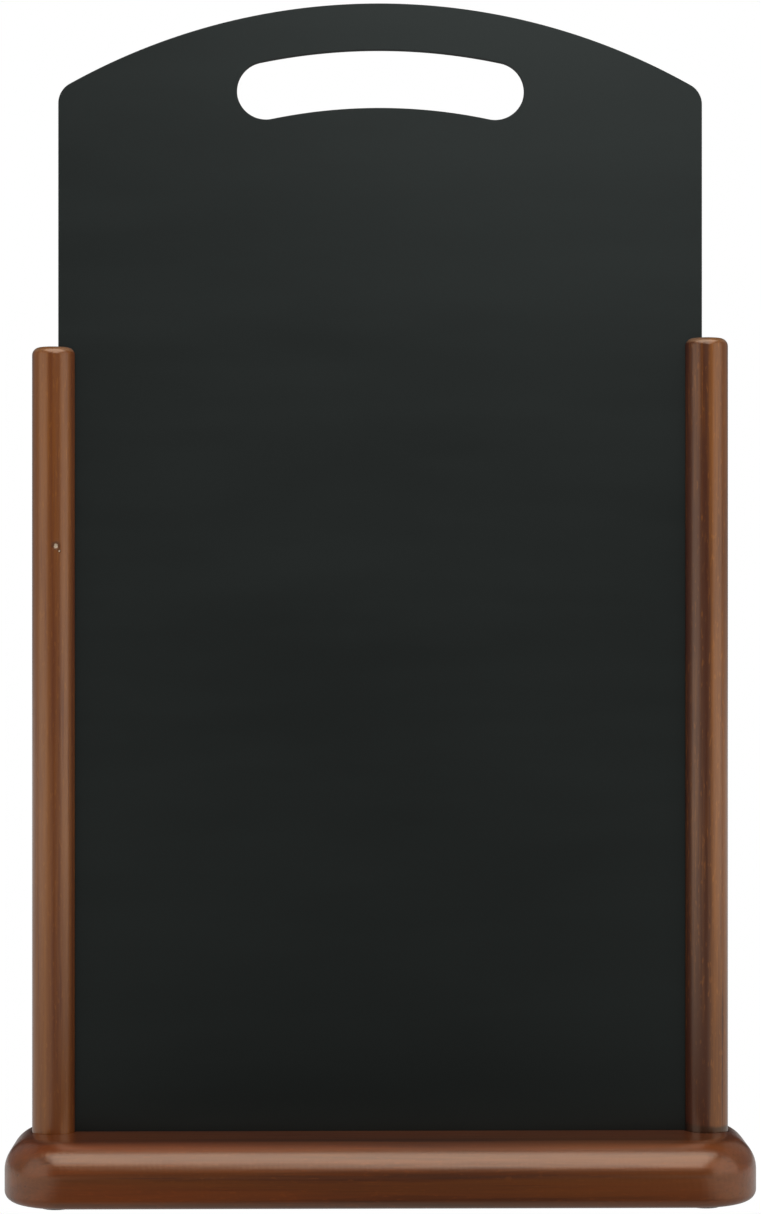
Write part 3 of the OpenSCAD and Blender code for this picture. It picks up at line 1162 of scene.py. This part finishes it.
@dataclass
class WritingPanel:
    """The panel: a black core between two writing faces, with an arched top and a hand slot."""

    arch: float = 256.3 * MM
    shoulder: float = 9 * MM
    foot_corner: float = 0.8 * MM
    slot_length: float = 115.8 * MM
    slot_width: float = 23.4 * MM
    grip: float = 18.7 * MM
    eased: float = 0.15 * MM
    face: WritingLaminate = WritingLaminate()
    core: DyedFibreboard = DyedFibreboard()
    foot_steps: int = 24
    corner_steps: int = 6
    side_steps: int = 40
    shoulder_steps: int = 20
    arch_steps: int = 90
    slot_steps: int = 40
    slot_end_steps: int = 32
    edge_steps: int = 5

    def right_half(self) -> np.ndarray:
        """The outline's right half, from the middle of the foot to the crown of the arch.

        Returns:
            Rows of x, z and the outward direction. The shoulder's circle touches the side and
            touches the arch from inside, so its centre lies on a circle of radius arch - shoulder.
        """
        low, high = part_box("panel_core")
        side, foot, arch_z = high[0], low[2], high[2] - self.arch
        x = side - self.shoulder
        reach = self.arch - self.shoulder
        z = arch_z + math.sqrt(reach ** 2 - x ** 2)
        meet = math.degrees(math.acos(x / reach))
        corner = (side - self.foot_corner, foot + self.foot_corner)
        run = np.linspace(0, corner[0], self.foot_steps)[:-1, None]
        rise = np.linspace(corner[1], z, self.side_steps)[1:-1, None]
        bottom = np.hstack([run, np.full_like(run, foot), np.zeros_like(run), -np.ones_like(run)])
        edge = np.hstack([np.full_like(rise, side), rise, np.ones_like(rise), np.zeros_like(rise)])
        return np.vstack([bottom, arc(corner, self.foot_corner, -90, 0, self.corner_steps), edge,
                          arc((x, z), self.shoulder, 0, meet, self.shoulder_steps)[:-1],
                          arc((0, arch_z), self.arch, meet, 90, self.arch_steps)])

    def right_slot(self) -> np.ndarray:
        """The hand slot's right half, from its upper middle round to its lower middle.

        Returns:
            Rows of x, z and the direction away from the slot, into the panel's rim. The slot is a
            band about the arch's own centre that ends in a half circle.
        """
        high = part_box("panel_core")[1]
        arch_z = high[2] - self.arch
        end = self.slot_width / 2
        middle = self.arch - self.grip - end
        lean = math.asin((self.slot_length / 2 - end) / middle)
        centre = (middle * math.sin(lean), arch_z + middle * math.cos(lean))
        turn = 90 - math.degrees(lean)
        upper = arc((0, arch_z), middle + end, 90, turn, self.slot_steps)
        round_end = arc(centre, end, turn, turn - 180, self.slot_end_steps)[1:-1]
        lower = arc((0, arch_z), middle - end, turn, 90, self.slot_steps)
        lower[:, 2:] *= -1
        return np.vstack([upper, round_end, lower])

    def layer(self, name: str, front: float, back: float, eased_front: float,
              eased_back: float) -> bpy.types.Object:
        """One layer of the panel, between two depths, with its front and back edges eased.

        Args:
            name: the piece's name.
            front: y of its front.
            back: y of its back.
            eased_front: radius of its front edges, or 0.
            eased_back: radius of its back edges, or 0.

        Returns:
            The new object. Each flat side is two faces that meet at x = 0, and each edge is a
            quarter circle: moved in by r (1 - sin a), at depth r (1 - cos a) from the flat side.
        """
        turn = np.radians(np.linspace(0, 90, self.edge_steps))
        steps = [(eased_front * (1 - math.sin(a)), front + eased_front * (1 - math.cos(a)))
                 for a in (turn if eased_front else turn[-1:] * 0)]
        steps += [(eased_back * (1 - math.sin(a)), back - eased_back * (1 - math.cos(a)))
                  for a in (turn[::-1] if eased_back else turn[-1:] * 0)]
        mirror = np.array([-1.0, 1.0, -1.0, 1.0])
        vertices: list[np.ndarray] = []
        faces: list[list[int]] = []
        flats: list[tuple[np.ndarray, int]] = []
        start = 0
        for half, inward in ((self.right_half(), -1), (self.right_slot(), 1)):
            loop = np.vstack([half, (half * mirror)[-2:0:-1]])
            place, way = loop[:, :2], inward * loop[:, 2:]
            moved = np.stack([place + inset * way for inset, _ in steps])
            depth = np.broadcast_to(np.array(steps)[:, None, 1:], (*moved.shape[:2], 1))
            vertices.append(np.concatenate([moved[..., :1], depth, moved[..., 1:]], axis=-1))
            faces += ring_faces(len(steps), len(loop), start)
            numbers = start + np.arange(len(steps) * len(loop)).reshape(len(steps), -1)
            flats.append((numbers, len(half)))
            start += numbers.size
        # Each flat side is cut at x = 0: half the outline, and then back round half the slot
        (outer, outer_half), (slot, slot_half) = flats
        for row in (0, -1):
            o, s = outer[row], slot[row]
            o_left = np.concatenate([o[:1], o[outer_half - 1:][::-1]])
            s_left = np.concatenate([s[:1], s[slot_half - 1:][::-1]])
            faces.append([*o[:outer_half].tolist(), *s[:slot_half].tolist()])
            faces.append([*o_left.tolist(), *s_left.tolist()])
        return link_mesh(name, np.vstack([rings.reshape(-1, 3) for rings in vertices]), faces)

    def build(self) -> None:
        """Makes the core and both writing faces and dresses them."""
        laminate = self.face.material()
        layers = (
            ("black_core", "panel_core", "board_core", 0.0, 0.0, self.core.material()),
            ("front_writing_face", "panel_front_face", "writing_face", self.eased, 0.0, laminate),
            ("rear_writing_face", "panel_rear_face", "writing_face", 0.0, self.eased, laminate))
        for name, node, slot, eased_front, eased_back, material in layers:
            low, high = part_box(node)
            piece = self.layer(name, low[1], high[1], eased_front, eased_back)
            finish_shading(piece)
            dress(piece, material, "panel", node)


# ---------------------------------------------------------------- the studio


@dataclass(frozen=True)
class SoftBox:
    """A flat rectangular light, aimed at a point, with an even brightness over its face."""

    name: str
    centre: tuple[float, float, float]
    aim: tuple[float, float, float]
    width: float
    height: float
    brightness: float

    def build(self) -> None:
        """Makes the light. Its power is its brightness times its area times pi."""
        lamp = bpy.data.lights.new(self.name, "AREA")
        lamp.shape = "RECTANGLE"
        lamp.size = self.width
        lamp.size_y = self.height
        lamp.energy = self.brightness * self.width * self.height * math.pi
        light = bpy.data.objects.new(self.name, lamp)
        way = np.subtract(self.aim, self.centre)
        light.location = self.centre
        light.rotation_euler = Vector(way).to_track_quat("-Z", "Y").to_euler()
        light.visible_camera = False
        bpy.context.scene.collection.objects.link(light)


@dataclass
class Studio:
    """White paper, a white room, softboxes at both sides and overhead, and the camera."""

    camera_distance: float = 1.15
    camera_height: float = 0.237
    camera_azimuth: float = math.radians(-0.7)
    lens: float = 134.8
    sensor: float = 36.0
    sight: float = 50.0
    paper_rings: tuple[float, ...] = (0.001, 0.2, 0.5, 1.0, 2.0, 4.0, 6.0)
    paper_segments: int = 96
    room_fill: float = 0.025

    def paper(self) -> None:
        """Lays the paper under the board as a disc of rings that widen outward."""
        profile = np.array([(radius, 0.0) for radius in self.paper_rings])
        rings = turned(profile, (0, 0), self.paper_segments)
        faces = ring_faces(len(profile), self.paper_segments) + [list(range(self.paper_segments))]
        floor = link_mesh("paper_floor", rings, faces)
        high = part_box("base")[1]
        floor.data.materials.append(PaperSweep((high[0], high[1], 0.0)).material())

    def lights(self) -> None:
        """Hangs the softboxes."""
        boxes = (
            SoftBox("left_softbox", (-0.80, -0.62, 0.42), (0.0, -0.62, 0.42), 1.05, 0.80, 0.55),
            SoftBox("right_softbox", (0.80, -0.62, 0.42), (0.0, -0.62, 0.42), 1.05, 0.80, 0.65),
            SoftBox("left_rear_softbox", (-0.80, 0.45, 0.48), (0.0, 0.2, 0.3), 1.0, 0.92, 0.15),
            SoftBox("right_rear_softbox", (0.80, 0.45, 0.48), (0.0, 0.2, 0.3), 1.0, 0.92, 0.15),
            SoftBox("overhead_softbox", (0.02, -0.62, 1.05), (0.02, -0.619, 0.0), 1.35, 1.05, 1.8),
            SoftBox("high_front_softbox", (0.20, -1.25, 0.88), (0.0, 0.0, 0.40), 0.60, 0.35, 2.2),
        )
        for box in boxes:
            box.build()

    def room(self) -> None:
        """Makes the room white where it is seen and dim where it only fills the shadows."""
        world = bpy.data.worlds.new("white_room")
        world.use_nodes = True
        tree = world.node_tree
        tree.nodes.clear()
        path = add(tree, "ShaderNodeLightPath")
        fill = add(tree, "ShaderNodeBackground", {
            "Color": (1.0, 1.0, 1.0, 1.0), "Strength": self.room_fill})
        seen = add(tree, "ShaderNodeBackground", {"Color": (1.0, 1.0, 1.0, 1.0), "Strength": 1.0})
        mix = add(tree, "ShaderNodeMixShader", {
            0: path.outputs["Is Camera Ray"], 1: fill, 2: seen})
        add(tree, "ShaderNodeOutputWorld", {"Surface": mix})
        bpy.context.scene.world = world

    def camera(self) -> None:
        """Sets up the camera: level, at half the board's height, a touch left of straight on."""
        data = bpy.data.cameras.new("front_camera")
        data.sensor_fit = "HORIZONTAL"
        data.sensor_width = self.sensor
        data.lens = self.lens
        data.clip_end = self.sight
        camera = bpy.data.objects.new("front_camera", data)
        camera.location = (self.camera_distance * math.sin(self.camera_azimuth),
                           -self.camera_distance * math.cos(self.camera_azimuth), self.camera_height)
        camera.rotation_euler = (math.radians(90), 0.0, self.camera_azimuth)
        bpy.context.scene.collection.objects.link(camera)
        bpy.context.scene.camera = camera

    def build(self) -> None:
        """Sets up the whole studio and plain colour handling."""
        bpy.context.scene.view_settings.view_transform = "Standard"
        self.camera()
        self.room()
        self.paper()
        self.lights()


# ---------------------------------------------------------------- the whole board


def main() -> None:
    """Builds the studio and every piece in order."""
    logging.basicConfig(level=logging.INFO, format="%(name)s: %(message)s")
    Studio().build()
    Base().build()
    # A painted highlight: the pale tone #b88a62 on the crowns' upward faces, where the overhead
    # light falls
    crown = PaintedSlopeLight(0.25, 0.6, 0.4, "#b88a62")
    left = StainedBeech(
        "turned_walnut_stained_beech_left", Grain.ALONG_Z, "#a35e1c", "#692c0e", "#995b1c",
        (173.8, 24.0, 0.0), crown, ring_strength=0.45, ring_wander=3.0)
    Post("left_post", 1, left, chips=(
        Chip(math.radians(10.5), 80 * MM, 1.15 * MM),
        Chip(math.radians(19.6), 82.1 * MM, 0.5 * MM, 0.1 * MM))).build()
    # The right post's painted shade at its foot reaches 2.4 mm higher
    right = StainedBeech(
        "turned_walnut_stained_beech_right", Grain.ALONG_Z, "#b56a22", "#4c1908", "#8f5220",
        (-78.6, 9.0, 0.0), crown, ring_mm=22.0, ring_strength=0.8, ring_wander=1.5,
        joint_shade=JointPaintedShade(shade_rise=2.4 * MM))
    Post("right_post", -1, right, chips=(
        Chip(math.radians(77.8), 108.9 * MM, 0.45 * MM, 0.1 * MM),)).build()
    plating = ZincPlatedSteel().material()
    for node in ("left_post_screw", "right_post_screw"):
        PostScrew(node).build(plating)
    rubber = FoamRubber().material()
    for node in ("front_left_foot", "front_right_foot", "rear_left_foot", "rear_right_foot"):
        NonSlipPad(node).build(rubber)
    WritingPanel().build()


if __name__ == "__main__":
    main()
